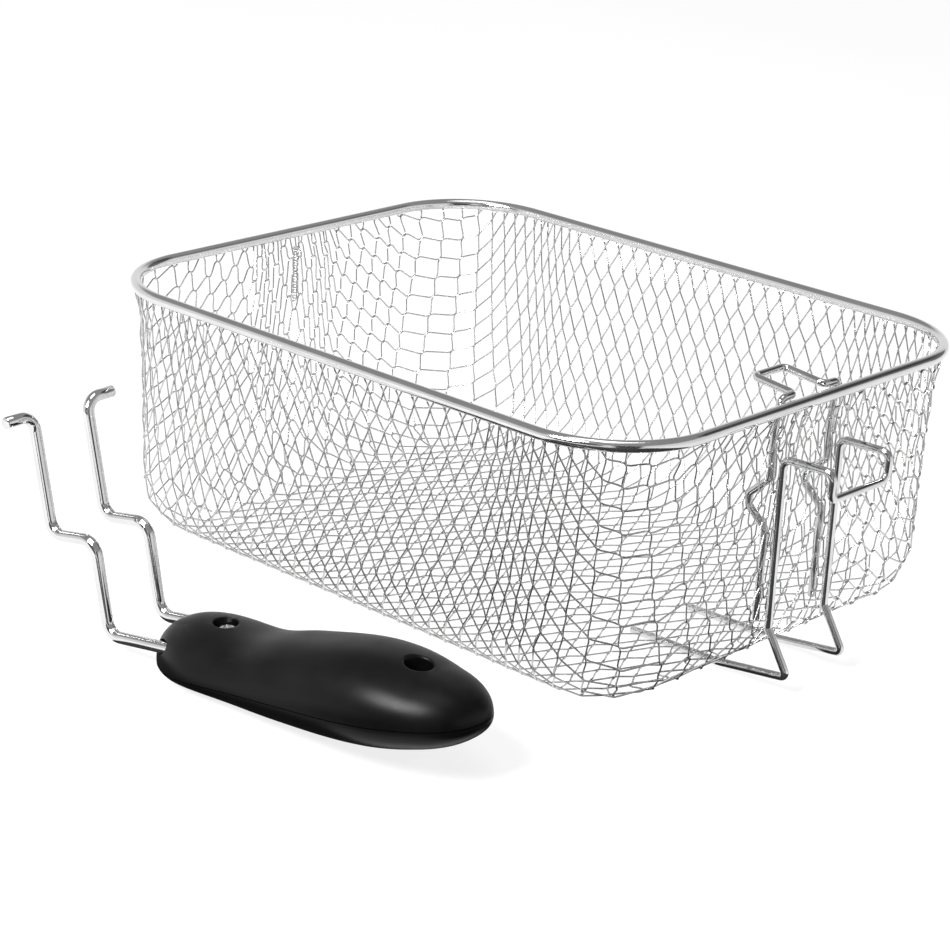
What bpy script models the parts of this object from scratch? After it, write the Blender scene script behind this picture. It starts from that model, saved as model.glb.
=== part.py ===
"""Wire deep-fryer basket with its clip-on handle lying beside it. Metres, +Z up, long side of the basket along Y.

The front wall faces -Y and carries two bent wires: the drain hook outside and the handle's socket inside. The basket
stands on the ends of its two foot wires and on the back edge of its floor. The handle has its own frame: +Y runs out of
the grip along the prongs, and z = 0 is the plane where the grip's two shells meet.
"""

import math

import bmesh
import bpy
from mathutils import Matrix, Vector

# Tub: half sizes are to the centre of the rim's band
HALF_WIDTH = 0.1000
HALF_LENGTH = 0.1276
RIM_HEIGHT = 0.0963
CORNER_RADIUS = 0.0380
LEAST_CORNER_RADIUS = 0.012
FLOOR_FILLET = 0.0215
MESH_THICKNESS = 0.0014
SIDE_DRAFT = 0.0046
END_DRAFT = 0.0032
NECK_HEIGHT = 0.0080
CORNER_STEPS = 5
FILLET_STEPS = 4

# Rim: a rolled band with a slit for the mesh, and a stiffening wire inside
BAND_RADIUS = 0.0021
BAND_WALL = 0.00045
SLIT = 0.0020
CORE_RADIUS = 0.0009
CORE_LIFT = 0.00045
MESH_TOP = RIM_HEIGHT - 0.0008
HEM_HEIGHT = 0.0030  # straight stretch of mesh that the rim takes in

# Seam lacing in the back wall
SEAM_SLOT = 0.0040
SEAM_CUT_DEPTH = 0.010
SEAM_CUT_MARGIN = 0.001
SEAM_BOTTOM = RIM_HEIGHT - 0.0270
SEAM_TOP = RIM_HEIGHT - 0.0050
LACING_RADIUS = 0.0011
LACING_WIRE = 0.00035
LACING_TURNS = 5

# Bracket wires on the front wall
WIRE_RADIUS = 0.0014
LEG_SPACING = 0.0318
BRIDGE_WIDTH = 0.0166
HOOK_BEND = 0.0032
FOOT_BEND = 0.0016
SOCKET_BEND = 0.0024
FOOT_END = (-0.0685, -0.0026)
GAP = 0.0003

# Handle: prongs
PRONG_RADIUS = 0.0021
PRONG_SPACING = 0.0248
PRONG_TAIL_SPACING = 0.0190
PRONG_BEND = 0.0058
PRONG_LEVEL = 0.0070
PRONG_TIP = 0.0125
HOLE_RADIUS = 0.0029
MOUTH_DEPTH = 0.020
MOUTH_CUT_START = 0.010

# Handle: grip. Each station along -Y holds a half width, a crown height and a belly depth
GRIP_STATIONS = (-0.006, -0.024, -0.042, -0.062, -0.090, -0.116)
GRIP_HALF_WIDTHS = (0.0168, 0.0201, 0.0206, 0.0216, 0.0230, 0.0215)
GRIP_CROWNS = (0.0170, 0.0154, 0.0135, 0.0165, 0.0188, 0.0155)
GRIP_BELLIES = (0.0030, 0.0054, 0.0081, 0.0105, 0.0118, 0.0110)
GRIP_MOUTH = 0.0012
GRIP_TAIL = -0.1345
MOUTH_ROUNDING = 0.024
TAIL_ROUNDING = 0.037
SECTION_POWER = 2.25
GRIP_WALL = 0.0024
CUTTER_REACH = 0.040
CUTTER_MARGIN = 0.001
WELL_Y = -0.0265
WELL_RADIUS = 0.0043
WELL_FLOOR = 0.0122
WELL_FLOOR_THICKNESS = 0.0016
SCREW_RADIUS = 0.0015
SCREW_PAST_NUT = 0.0008
SCREW_HEAD_RADIUS = 0.0031
SCREW_HEAD_EDGE = 0.0007
SCREW_HEAD_HEIGHT = 0.0016
CROSS_SIZE = (0.0036, 0.0007)
CROSS_TURN = 20
NUT_RADIUS = 0.0032
CLAMP_SIDE_MARGIN = 0.0030
CLAMP_REAR = 0.0042
CLAMP_FRONT = 0.0034
NUT_TOP = 0.0030
NUT_BOTTOM = 0.0004
HANG_HOLE_Y = -0.1100
HANG_HOLE_RADIUS = 0.0046
BOSS_WALL = 0.0018

# Where the handle lies beside the basket, before the whole part is centred
HANDLE_PLACE = (-0.1561, 0.0175, 0.0018)
HANDLE_PITCH = math.radians(-9.0)
HANDLE_YAW = math.radians(4.4)


def clear_scene():
    for thing in list(bpy.data.objects):
        bpy.data.objects.remove(thing, do_unlink=True)


def new_collection(name):
    made = bpy.data.collections.new(name)
    bpy.context.scene.collection.children.link(made)
    return made


def new_material(name, colour, roughness, metallic):
    made = bpy.data.materials.new(name)
    made.use_nodes = True
    shader = made.node_tree.nodes["Principled BSDF"]
    shader.inputs["Base Color"].default_value = (*colour, 1.0)
    shader.inputs["Roughness"].default_value = roughness
    shader.inputs["Metallic"].default_value = metallic
    return made


def new_empty(name):
    made = bpy.data.objects.new(name, None)
    made.empty_display_size = 0.02
    parts.objects.link(made)
    return made


def add_object(name, data, material, parent):
    made = bpy.data.objects.new(name, data)
    parts.objects.link(made)
    made.data.materials.append(material)
    made.parent = parent
    return made


def mesh_from(name, build):
    """A mesh data block filled by a function that works on a bmesh."""
    shape = bmesh.new()
    build(shape)
    bmesh.ops.recalc_face_normals(shape, faces=shape.faces)
    data = bpy.data.meshes.new(name)
    shape.to_mesh(data)
    shape.free()
    return data


def smooth(thing, degrees=40):
    thing.data.shade_smooth()
    thing.data.set_sharp_from_angle(angle=math.radians(degrees))


def rounded_path(points, radii, steps=4):
    """The points with each inner corner replaced by an arc of its own radius, or less where a leg is short."""
    points = [Vector(p) for p in points]
    path = [points[0]]
    for before, corner, after, radius in zip(points, points[1:], points[2:], radii):
        towards, away = before - corner, after - corner
        half_angle = towards.angle(away) / 2
        reach = min(radius / math.tan(half_angle), 0.45 * towards.length, 0.45 * away.length)
        start = corner + towards.normalized() * reach
        end = corner + away.normalized() * reach
        inward = (towards.normalized() + away.normalized()).normalized()
        centre = corner + inward * (reach / math.cos(half_angle))
        sweep = (start - centre).angle(end - centre)
        for step in range(steps + 1):
            turn = sweep * step / steps
            share = math.sin(sweep - turn) / math.sin(sweep), math.sin(turn) / math.sin(sweep)
            path.append(centre + (start - centre) * share[0] + (end - centre) * share[1])
    path.append(points[-1])
    return path


def add_wire(name, path, radius, material, parent, closed=False):
    curve = bpy.data.curves.new(name, "CURVE")
    curve.dimensions = "3D"
    curve.bevel_depth = radius
    curve.bevel_resolution = 2
    curve.use_fill_caps = True
    spline = curve.splines.new("POLY")
    spline.points.add(len(path) - 1)
    for point, place in zip(spline.points, path):
        point.co = (*place, 1.0)
    spline.use_cyclic_u = closed
    return add_object(name, curve, material, parent)


def cut(thing, cutter, operation="DIFFERENCE"):
    cutter.hide_render = True
    cutter.display_type = "WIRE"
    modifier = thing.modifiers.new(cutter.name, "BOOLEAN")
    modifier.operation = operation
    modifier.solver = "EXACT"
    modifier.object = cutter


def add_cutter(name, data, parent):
    made = bpy.data.objects.new(name, data)
    cutters.objects.link(made)
    made.parent = parent
    return made


def cylinder_mesh(name, radius, low, high, centre=(0, 0), along="Z", segments=24):
    """A cylinder from low to high along Z or Y, centred on the other two coordinates."""

    def build(shape):
        bmesh.ops.create_cone(
            shape, cap_ends=True, segments=segments, radius1=radius, radius2=radius, depth=high - low
        )
        half_step = Matrix.Rotation(math.pi / segments, 4, "Z")
        bmesh.ops.transform(shape, matrix=half_step, verts=shape.verts)
        middle = (low + high) / 2
        if along == "Y":
            turn = Matrix.Rotation(math.radians(90), 4, "X")
            place = Matrix.Translation((centre[0], middle, centre[1]))
            bmesh.ops.transform(shape, matrix=place @ turn, verts=shape.verts)
        else:
            bmesh.ops.translate(shape, vec=(centre[0], centre[1], middle), verts=shape.verts)

    return mesh_from(name, build)


def box_mesh(name, low, high):
    def build(shape):
        bmesh.ops.create_cube(shape, size=1)
        size = Vector(high) - Vector(low)
        bmesh.ops.scale(shape, vec=size, verts=shape.verts)
        bmesh.ops.translate(shape, vec=(Vector(low) + Vector(high)) / 2, verts=shape.verts)

    return mesh_from(name, build)


def tub_ring(side_inset, end_inset, z):
    """A rounded rectangle around the tub, pulled in from the rim's centre line."""
    half_x, half_y = HALF_WIDTH - side_inset, HALF_LENGTH - end_inset
    radius = max(CORNER_RADIUS - max(side_inset, end_inset), LEAST_CORNER_RADIUS)
    ring = []
    for quarter, (sx, sy) in enumerate(((1, 1), (-1, 1), (-1, -1), (1, -1))):
        for step in range(CORNER_STEPS + 1):
            turn = math.radians(90 * (quarter + step / CORNER_STEPS))
            x = sx * (half_x - radius) + radius * math.cos(turn)
            y = sy * (half_y - radius) + radius * math.sin(turn)
            ring.append(Vector((x, y, z)))
    return ring


def tub_rows():
    """Rings of the tub's middle surface from the floor's flat edge up to the rim."""
    floor = MESH_THICKNESS / 2
    fillet_top = FLOOR_FILLET
    rows = []
    for step in range(FILLET_STEPS + 1):
        turn = math.radians(90 * step / FILLET_STEPS)
        reach = (FLOOR_FILLET - floor) * (1 - math.sin(turn))
        z = fillet_top - (fillet_top - floor) * math.cos(turn)
        rows.append((SIDE_DRAFT + reach, END_DRAFT + reach, z))
    neck = RIM_HEIGHT - NECK_HEIGHT
    rows.append((0.3 * SIDE_DRAFT, 0.8 * END_DRAFT, neck))
    rows.append((0, 0, RIM_HEIGHT - HEM_HEIGHT))
    rows.append((0, 0, MESH_TOP))
    return rows


def build_tub_surface(shape):
    rings = [[shape.verts.new(p) for p in tub_ring(*row)] for row in tub_rows()]
    shape.faces.new(rings[0])
    for lower, upper in zip(rings, rings[1:]):
        count = len(lower)
        for i in range(count):
            j = (i + 1) % count
            shape.faces.new((lower[i], lower[j], upper[j], upper[i]))


def add_tub():
    tub = add_object("wire_mesh", mesh_from("wire_mesh", build_tub_surface), steel_mesh, basket)
    wall = tub.modifiers.new("wall", "SOLIDIFY")
    wall.thickness = MESH_THICKNESS
    wall.offset = 0
    wall.use_even_offset = True
    half_slot = SEAM_SLOT / 2
    low = (-half_slot, HALF_LENGTH - SEAM_CUT_DEPTH, SEAM_BOTTOM - SEAM_CUT_MARGIN)
    high = (half_slot, HALF_LENGTH + SEAM_CUT_DEPTH, SEAM_TOP + SEAM_CUT_MARGIN)
    cut(tub, add_cutter("seam_slot", box_mesh("seam_slot", low, high), basket))
    smooth(tub)


def band_section():
    """The rolled band's C-shaped section, as offsets (outwards, up) from the rim's centre line."""
    inner = BAND_RADIUS - BAND_WALL
    outline = []
    for radius, steps in ((BAND_RADIUS, 12), (inner, 10)):
        opening = math.asin(SLIT / 2 / radius)
        start, end = -math.pi / 2 + opening, 1.5 * math.pi - opening
        arc = [start + (end - start) * step / steps for step in range(steps + 1)]
        points = [(radius * math.cos(turn), radius * math.sin(turn)) for turn in arc]
        outline += points if radius == BAND_RADIUS else points[::-1]
    return outline


def build_band(shape):
    section = band_section()
    centre_line = tub_ring(0, 0, RIM_HEIGHT)
    count = len(centre_line)
    rings = []
    for i, place in enumerate(centre_line):
        before, after = centre_line[i - 1], centre_line[(i + 1) % count]
        run_in, run_out = (place - before).normalized(), (after - place).normalized()
        mean = (run_in + run_out).normalized()
        outwards = mean.cross(Vector((0, 0, 1))) / mean.dot(run_in)
        rings.append([shape.verts.new(place + outwards * u + Vector((0, 0, v))) for u, v in section])
    for i, ring in enumerate(rings):
        following = rings[(i + 1) % count]
        for k in range(len(section)):
            j = (k + 1) % len(section)
            shape.faces.new((ring[k], ring[j], following[j], following[k]))


def add_rim():
    band = add_object("rim_band", mesh_from("rim_band", build_band), rolled_steel, basket)
    smooth(band)
    core = tub_ring(0, 0, RIM_HEIGHT + CORE_LIFT)
    add_wire("rim_core_wire", core, CORE_RADIUS, steel_wire, basket, closed=True)


def add_lacing():
    steps = 8 * LACING_TURNS
    middle = HALF_LENGTH - 0.8 * END_DRAFT
    path = []
    for step in range(steps + 1):
        turn = 2 * math.pi * LACING_TURNS * step / steps
        z = SEAM_BOTTOM + (SEAM_TOP - SEAM_BOTTOM) * step / steps
        x, y = LACING_RADIUS * math.cos(turn), LACING_RADIUS * math.sin(turn)
        path.append(Vector((x, middle + y, z)))
    add_wire("seam_lacing", path, LACING_WIRE, steel_wire, basket)


def mirrored(half):
    """A path that starts on the -X side and is completed by its mirror image."""
    left = [Vector((-x, y, z)) for x, y, z in half]
    right = [Vector((x, y, z)) for x, y, z in reversed(half)]
    return left + right


def add_drain_hook():
    leg = LEG_SPACING / 2
    wall = -HALF_LENGTH
    foot_y, foot_z = FOOT_END
    half = [
        (leg, foot_y, foot_z),
        (leg, wall + 0.0215, -0.0020),
        (leg, wall - 0.0092, 0.0020),
        (leg, wall + 0.0004, 0.0173),
        (leg, wall + 0.0004, 0.0784),
        (leg, wall - 0.0202, 0.0790),
        (leg, wall - 0.0196, 0.0692),
    ]
    radii = [FOOT_BEND] * 3 + [HOOK_BEND] * 6 + [FOOT_BEND] * 3
    path = rounded_path(mirrored(half), radii)
    add_wire("drain_hook_wire", path, WIRE_RADIUS, steel_wire, basket)


def add_socket():
    leg, bridge = LEG_SPACING / 2, BRIDGE_WIDTH / 2
    wall = -HALF_LENGTH
    half = [
        (leg, wall + 0.0060, 0.0186),
        (leg, wall + 0.0056, 0.0520),
        (leg, wall + 0.0132, 0.0585),
        (leg, wall + 0.0130, 0.0628),
        (leg, wall + 0.0052, 0.0700),
        (leg, wall + 0.0050, RIM_HEIGHT - 0.0070),
        (leg, wall + 0.0039, RIM_HEIGHT + 0.0021),
        (bridge, wall + 0.0039, RIM_HEIGHT + 0.0023),
        (bridge, wall + 0.0212, RIM_HEIGHT + 0.0040),
    ]
    path = rounded_path(mirrored(half), [SOCKET_BEND] * (2 * len(half) - 2))
    add_wire("socket_wire", path, WIRE_RADIUS, steel_wire, basket)


def hermite(stations, values, place):
    """A smooth reading of a table with falling stations, level beyond its ends."""
    if place >= stations[0]:
        return values[0]
    for i in range(len(stations) - 1):
        if place < stations[i + 1]:
            continue
        step = stations[i + 1] - stations[i]
        share = (place - stations[i]) / step
        slopes = []
        for k in (i, i + 1):
            low, high = max(k - 1, 0), min(k + 1, len(stations) - 1)
            slopes.append((values[high] - values[low]) / (stations[high] - stations[low]) * step)
        a, b = 2 * share**3 - 3 * share**2 + 1, share**3 - 2 * share**2 + share
        c, d = 3 * share**2 - 2 * share**3, share**3 - share**2
        return a * values[i] + b * slopes[0] + c * values[i + 1] + d * slopes[1]
    return values[-1]


def end_scale(y, mouth, tail):
    """How far a section is drawn in near the grip's two rounded ends: 1 in the middle, 0 at the tips."""
    into_mouth = min(max((y - (mouth - MOUTH_ROUNDING)) / MOUTH_ROUNDING, 0), 1)
    into_tail = min(max(((tail + TAIL_ROUNDING) - y) / TAIL_ROUNDING, 0), 1)
    return (1 - into_mouth**2.3) ** (1 / 2.3) * (1 - into_tail**2.2) ** (1 / 2.2)


def build_pod(shape, heights, inset, base, upper):
    """Half of the grip's pod, closed by the flat at z = base. An inset pod is smaller all round."""
    stations, around = 20, 12
    mouth, tail = GRIP_MOUTH - inset, GRIP_TAIL + inset
    sign = 1 if upper else -1
    rows = []
    for step in range(1, stations):
        y = tail + (mouth - tail) * (0.5 - 0.5 * math.cos(math.pi * step / stations))
        scale = end_scale(y, mouth, tail)
        half_width = (hermite(GRIP_STATIONS, GRIP_HALF_WIDTHS, y) - inset) * scale
        height = max((hermite(GRIP_STATIONS, heights, y) - inset) * scale, 0.0004)
        row = []
        for k in range(around + 1):
            turn = math.pi * k / around
            power = 2 / SECTION_POWER
            x = half_width * math.copysign(abs(math.cos(turn)) ** power, math.cos(turn))
            z = base + sign * height * abs(math.sin(turn)) ** power
            row.append(shape.verts.new((x, y, z)))
        rows.append(row)
    tips = [shape.verts.new((0, tail, base)), shape.verts.new((0, mouth, base))]
    for first, second in zip(rows, rows[1:]):
        for k in range(around):
            shape.faces.new((first[k], first[k + 1], second[k + 1], second[k]))
        shape.faces.new((first[around], first[0], second[0], second[around]))
    for row, tip in ((rows[0], tips[0]), (rows[-1], tips[1])):
        for k in range(around):
            shape.faces.new((row[k], row[k + 1], tip))
        shape.faces.new((row[around], row[0], tip))


def pod_mesh(name, heights, inset, base, upper):
    return mesh_from(name, lambda shape: build_pod(shape, heights, inset, base, upper))


def add_boss(name, radius, low, high, y, inside):
    """Keeps a column of plastic standing inside a shell, by taking it out of the void that hollows the shell."""
    cut(inside, add_cutter(name, cylinder_mesh(name, radius, low, high, (0, y)), handle))


def add_grip_shell(name, upper):
    sign = 1 if upper else -1
    heights = GRIP_CROWNS if upper else GRIP_BELLIES
    face = sign * GAP / 2
    shell = add_object(name, pod_mesh(name, heights, 0, face, upper), black_plastic, handle)
    void = add_cutter(name + "_void", pod_mesh(name + "_void", heights, GRIP_WALL, 0, upper), handle)
    hole_wall = HANG_HOLE_RADIUS + BOSS_WALL
    low, high = (-CUTTER_MARGIN, CUTTER_REACH) if upper else (-CUTTER_REACH, CUTTER_MARGIN)
    add_boss(name + "_hole_boss", hole_wall, low, high, HANG_HOLE_Y, void)
    if upper:
        well_bottom = WELL_FLOOR - WELL_FLOOR_THICKNESS
        add_boss("well_boss", WELL_RADIUS + BOSS_WALL, well_bottom, CUTTER_REACH, WELL_Y, void)
    cut(shell, void)
    name_of_hole = name + "_hang_hole"
    hole = cylinder_mesh(
        name_of_hole, HANG_HOLE_RADIUS, -CUTTER_REACH, CUTTER_REACH, (0, HANG_HOLE_Y), segments=28
    )
    cut(shell, add_cutter(name_of_hole, hole, handle))
    if upper:
        well = cylinder_mesh("screw_well", WELL_RADIUS, WELL_FLOOR, CUTTER_REACH, (0, WELL_Y))
        cut(shell, add_cutter("screw_well", well, handle))
        bore_radius, bore_start = SCREW_RADIUS + GAP, PRONG_LEVEL - HOLE_RADIUS
        bore = cylinder_mesh("screw_bore", bore_radius, bore_start, CUTTER_REACH, (0, WELL_Y), segments=16)
        cut(shell, add_cutter("screw_bore", bore, handle))
        for side, x in (("left", -1), ("right", 1)):
            centre = (x * PRONG_SPACING / 2, PRONG_LEVEL)
            start, end = -MOUTH_DEPTH, MOUTH_CUT_START
            hole = cylinder_mesh(side + "_mouth", HOLE_RADIUS, start, end, centre, along="Y", segments=20)
            cut(shell, add_cutter(side + "_mouth", hole, handle))
    smooth(shell, 35)


def add_prongs():
    """The two wires, each bent in its own upright plane, with its tip turned outwards."""
    for name, side in (("left_prong", -1), ("right_prong", 1)):
        x, tail_x = side * PRONG_SPACING / 2, side * PRONG_TAIL_SPACING / 2
        path = [
            (tail_x, -0.032, PRONG_LEVEL),
            (tail_x, -0.024, PRONG_LEVEL),
            (x, -0.012, PRONG_LEVEL),
            (x, 0.0171, PRONG_LEVEL),
            (x, 0.0197, 0.0400),
            (x, 0.0405, 0.0393),
            (x, 0.0445, 0.0809),
            (x + side * PRONG_TIP, 0.0445, 0.0809),
        ]
        add_wire(name, rounded_path(path, [PRONG_BEND] * 6), PRONG_RADIUS, bright_wire, handle)


def add_clamp():
    """Inside the grip: the plate that the screw and its nut pull up against both wires."""
    top = PRONG_LEVEL - PRONG_RADIUS - GAP
    half_width = PRONG_TAIL_SPACING / 2 + CLAMP_SIDE_MARGIN
    low = (-half_width, WELL_Y - CLAMP_REAR, NUT_TOP + GAP)
    high = (half_width, WELL_Y + CLAMP_FRONT, top)
    clamp = add_object("prong_clamp", box_mesh("prong_clamp", low, high), steel_wire, handle)
    bore = cylinder_mesh("clamp_bore", SCREW_RADIUS + GAP, 0, CUTTER_REACH, (0, WELL_Y), segments=16)
    cut(clamp, add_cutter("clamp_bore", bore, handle))


def turned(name, profile, segments=20):
    """A solid turned about Z from (radius, z) pairs that start and end on the axis."""

    def build(shape):
        points = [shape.verts.new((radius, 0, z)) for radius, z in profile]
        edges = [shape.edges.new(pair) for pair in zip(points, points[1:])]
        axis, middle = (0, 0, 1), (0, 0, 0)
        bmesh.ops.spin(
            shape, geom=points + edges, cent=middle, axis=axis, angle=2 * math.pi, steps=segments
        )
        bmesh.ops.remove_doubles(shape, verts=shape.verts, dist=1e-6)

    return mesh_from(name, build)


def add_fasteners():
    shank_end = NUT_BOTTOM - SCREW_PAST_NUT
    head = WELL_FLOOR + GAP
    profile = [(0, shank_end), (SCREW_RADIUS, shank_end), (SCREW_RADIUS, head), (SCREW_HEAD_RADIUS, head)]
    profile += [
        (SCREW_HEAD_RADIUS, head + SCREW_HEAD_EDGE),
        (0.8 * SCREW_HEAD_RADIUS, head + 0.8 * SCREW_HEAD_HEIGHT),
        (0, head + SCREW_HEAD_HEIGHT),
    ]
    screw = add_object("clamp_screw", turned("clamp_screw", profile), bright_wire, handle)
    screw.location = (0, WELL_Y, 0)
    for turn in (0, 90):
        name = f"cross_slot_{turn}"
        half_length, half_width = CROSS_SIZE[0] / 2, CROSS_SIZE[1] / 2
        low = (-half_length, -half_width, head + SCREW_HEAD_EDGE)
        slot = box_mesh(name, low, (half_length, half_width, head + 2 * SCREW_HEAD_HEIGHT))
        cutter = add_cutter(name, slot, screw)
        cutter.rotation_euler.z = math.radians(turn + CROSS_TURN)
        cut(screw, cutter)
    smooth(screw)

    nut_data = cylinder_mesh("clamp_nut", NUT_RADIUS, NUT_BOTTOM, NUT_TOP, (0, WELL_Y), segments=6)
    nut = add_object("clamp_nut", nut_data, steel_wire, handle)
    bore = cylinder_mesh("nut_bore", SCREW_RADIUS + GAP, -0.01, 0.01, (0, WELL_Y), segments=16)
    cut(nut, add_cutter("nut_bore", bore, handle))


def world_box():
    bpy.context.view_layer.update()
    graph = bpy.context.evaluated_depsgraph_get()
    low, high = Vector((math.inf,) * 3), Vector((-math.inf,) * 3)
    for thing in parts.objects:
        if thing.type == "EMPTY":
            continue
        evaluated = thing.evaluated_get(graph)
        data = evaluated.to_mesh()
        for vertex in data.vertices:
            place = evaluated.matrix_world @ vertex.co
            low = Vector(map(min, low, place))
            high = Vector(map(max, high, place))
        evaluated.to_mesh_clear()
    return low, high


def stand_basket():
    """Tips the basket up at the front until its foot wires and the back edge of its floor are level."""
    back_edge = HALF_LENGTH - END_DRAFT - FLOOR_FILLET
    drop = WIRE_RADIUS - FOOT_END[1]
    tilt = -math.atan2(drop, back_edge - FOOT_END[0])
    pivot = Vector((0, back_edge, 0))
    basket.rotation_euler.x = tilt
    basket.location = pivot - Matrix.Rotation(tilt, 3, "X") @ pivot


def lay_handle():
    handle.location = HANDLE_PLACE
    handle.rotation_euler = (HANDLE_PITCH, 0, HANDLE_YAW)


def centre_on_origin():
    """Moves both halves so that the whole part stands on z = 0 with its footprint centred."""
    low, high = world_box()
    shift = Vector(((low.x + high.x) / 2, (low.y + high.y) / 2, low.z))
    basket.location -= shift
    handle.location -= shift
    bpy.context.view_layer.update()


clear_scene()
parts = new_collection("deep_fryer_basket")
cutters = new_collection("cutters")
steel_mesh = new_material("steel_mesh", (0.62, 0.62, 0.62), 0.25, 1.0)
rolled_steel = new_material("rolled_steel", (0.66, 0.66, 0.66), 0.30, 1.0)
steel_wire = new_material("steel_wire", (0.72, 0.72, 0.72), 0.14, 1.0)
bright_wire = new_material("bright_wire", (0.78, 0.78, 0.78), 0.10, 1.0)
black_plastic = new_material("black_plastic", (0.012, 0.012, 0.012), 0.38, 0.0)
basket = new_empty("basket_frame")
handle = new_empty("handle_frame")

add_tub()
add_rim()
add_lacing()
add_drain_hook()
add_socket()
add_grip_shell("grip_upper_shell", upper=True)
add_grip_shell("grip_lower_shell", upper=False)
add_prongs()
add_clamp()
add_fasteners()
stand_basket()
lay_handle()
centre_on_origin()
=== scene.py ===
"""Looks for the wire fryer basket and its clip-on handle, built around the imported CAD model. Metres, +Z up."""

import math

import bmesh
import bpy
import numpy as np
from mathutils import Matrix, Vector


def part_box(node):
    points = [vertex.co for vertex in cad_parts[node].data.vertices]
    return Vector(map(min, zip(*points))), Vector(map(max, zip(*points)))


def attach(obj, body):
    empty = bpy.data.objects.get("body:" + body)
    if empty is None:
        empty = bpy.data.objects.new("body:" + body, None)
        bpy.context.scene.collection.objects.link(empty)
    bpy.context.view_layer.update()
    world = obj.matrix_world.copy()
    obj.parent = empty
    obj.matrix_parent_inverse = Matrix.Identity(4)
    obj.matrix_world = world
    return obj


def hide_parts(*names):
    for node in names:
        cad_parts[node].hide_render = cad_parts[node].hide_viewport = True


# Tub, to the middle of its mesh and of the rim's band
HALF_WIDTH = 0.1000
HALF_LENGTH = 0.1276
RIM_HEIGHT = 0.0963
CORNER_RADIUS = 0.0380
LEAST_CORNER = 0.0120
FLOOR_LEVEL = 0.0007
FILLET_RADIUS = 0.0208
OUTER_FILLET = 0.0215
SIDE_DRAFT = 0.0046
END_DRAFT = 0.0032
SIDE_DRAFT_LOSS = 0.7  # share of the draft that is gone at the neck
END_DRAFT_LOSS = 0.2
NECK_LOW = 0.0860
NECK_HIGH = 0.0930
MESH_TOP = RIM_HEIGHT - 0.0008
FRONT_WALL = -HALF_LENGTH
BAND_RADIUS = 0.0021
BAND_WALL = 0.00045
BAND_SLIT = 0.0020

# Bracket wires. The basket stands on the ends of its foot wires and on the rear edge of its floor
LEG_SPACING = 0.0318
BRIDGE_WIDTH = 0.0166
FOOT_BEND = 0.0016
HOOK_BEND = 0.0032
SOCKET_BEND = 0.0024
WIRE_SIDES = 20
FOOT_END = (-0.0685, -0.0026)
WIRE_RADIUS = 0.0014
STAND_LENGTH = HALF_LENGTH - END_DRAFT - OUTER_FILLET - FOOT_END[0]
STAND_TILT = -math.atan2(WIRE_RADIUS - FOOT_END[1], STAND_LENGTH)

# Weave: floor cells are long in X. Wall cells are set by how fast each family's count rises per metre of wall, at
# stations that run as in wall_point
CELL_LONG = 0.0147
CELL_SHORT = 0.0074
WEAVE_STATIONS = (0, 0.7, 1.0, 1.5, 2.0, 2.6, 3.0)
RISE_A = (68, 68, 85, 125, 123, 118, 65)
RISE_B = (68, 68, 40, 0, -20, -45, -65)
MESH_WIRE = 0.00032  # radius
MESH_SIDES = 6
CRIMP = 0.00028
TWIST = 0.0013
BEND_CUT = 0.0011
TWIST_CUT = 0.0005
MOST_COUNT = 60
SPARE_HEIGHT = 0.018
LOWEST_CROSSING = -0.0004
EDGE_SAMPLES = 4001
WEAVE_SEED = 11
WEAVE_JITTER = 0.00006

# Laced seam at the top of the back wall, and the mesh drawn in towards it
GATHER = 0.55
GATHER_WIDTH = 0.008
GATHER_START = 0.055
GATHER_RUN = 0.025
SEAM_BOTTOM = RIM_HEIGHT - 0.0270
SEAM_TOP = RIM_HEIGHT - 0.0050
LACING_TURNS = 5
LACING_RADIUS = 0.0009
LACING_WIRE = 0.00036

# Handle
PRONG_RADIUS = 0.0021
PRONG_SPACING = 0.0248
PRONG_TAIL_SPACING = 0.0190
PRONG_LEVEL = 0.0070
PRONG_TIP = 0.0125
PRONG_BEND = 0.0058
PRONG_SIDES = 32
HOLE_RADIUS = 0.0029
MOUTH_CUT_LENGTH = 0.03
MOUTH_CUT_MIDDLE = -0.005
GRIP_STATIONS = (-0.006, -0.024, -0.042, -0.062, -0.090, -0.116)
GRIP_HALF_WIDTHS = (0.0168, 0.0201, 0.0206, 0.0216, 0.0230, 0.0215)
GRIP_CROWNS = (0.0170, 0.0154, 0.0135, 0.0165, 0.0188, 0.0155)
GRIP_BELLIES = (0.0030, 0.0054, 0.0081, 0.0105, 0.0118, 0.0110)
GRIP_MOUTH = 0.0012
GRIP_TAIL = -0.1345
MOUTH_ROUNDING = 0.024
TAIL_ROUNDING = 0.037
MOUTH_POWER = 2.3
TAIL_POWER = 2.2
SECTION_POWER = 2.25
LEAST_HEIGHT = 0.0004
GRIP_WALL = 0.0024
BOSS_WALL = 0.0018
PARTING = 0.00015
WELL_Y = -0.0265
WELL_RADIUS = 0.0043
WELL_FLOOR = 0.0122
WELL_FLOOR_THICKNESS = 0.0016
WELL_LIP = 0.0005
BORE_RADIUS = 0.0018
BORE_START = 0.004
HANG_HOLE_Y = -0.1100
HANG_HOLE_RADIUS = 0.0046
HANG_LIP = 0.0010
LIP_STEPS = 6
LIP_LIFT = 0.00002
LIP_MARGIN = 0.0002
CUTTER_FAR = 0.05
CUTTER_REACH = 0.040
CUTTER_MARGIN = 0.001
NUT_MIDDLE = 0.0017
SCREW_RADIUS = 0.0015
SCREW_START = -0.0004
SCREW_HEAD_RADIUS = 0.0031
SCREW_HEAD_BASE = WELL_FLOOR + 0.0003
SCREW_HEAD_EDGE = 0.0006
SCREW_HEAD_DOME = 0.0010
SCREW_SEGMENTS = 40
DOME_STEPS = 8
CROSS_SIZE = (0.0036, 0.0007, 0.003)
CROSS_MIDDLE = 0.0021  # above the head's base
CROSS_TURN = 20
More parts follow.
